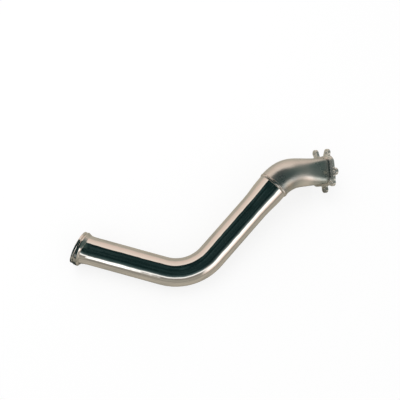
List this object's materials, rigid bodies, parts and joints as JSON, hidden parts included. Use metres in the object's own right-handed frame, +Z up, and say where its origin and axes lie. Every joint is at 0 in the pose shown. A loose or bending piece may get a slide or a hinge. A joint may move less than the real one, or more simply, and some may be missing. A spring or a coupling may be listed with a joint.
{
  "type": "turbo downpipe",
  "caption": "Polished stainless turbo downpipe with one long bend, a bellmouth elbow to a squared lugged turbo flange, and a turned clamp ring at the outlet.",
  "frame": {"origin": "centre of the bounding box seen from above, on the ground the pipe lies on", "axes": "+X from the clamp ring towards the turbo flange, +Z up from the ground; the bend lies towards -Y"},
  "size_m": [0.7276, 0.3906, 0.1421],
  "materials": {
    "polished_stainless": "mirror polished stainless tube",
    "turned_stainless": "polished, with fine turning marks",
    "satin_stainless": "satin polished casting",
    "flange_steel": "brushed plate with machined face",
    "weld_bead": "dressed weld bead"
  },
  "bodies": {
    "root": {"main_tube": "polished_stainless", "outlet_flange": "turned_stainless", "bellmouth_elbow": "satin_stainless", "turbo_flange": "flange_steel", "elbow_weld": "weld_bead", "flange_weld": "weld_bead", "outlet_weld": "weld_bead"}
  },
  "joints": []
}
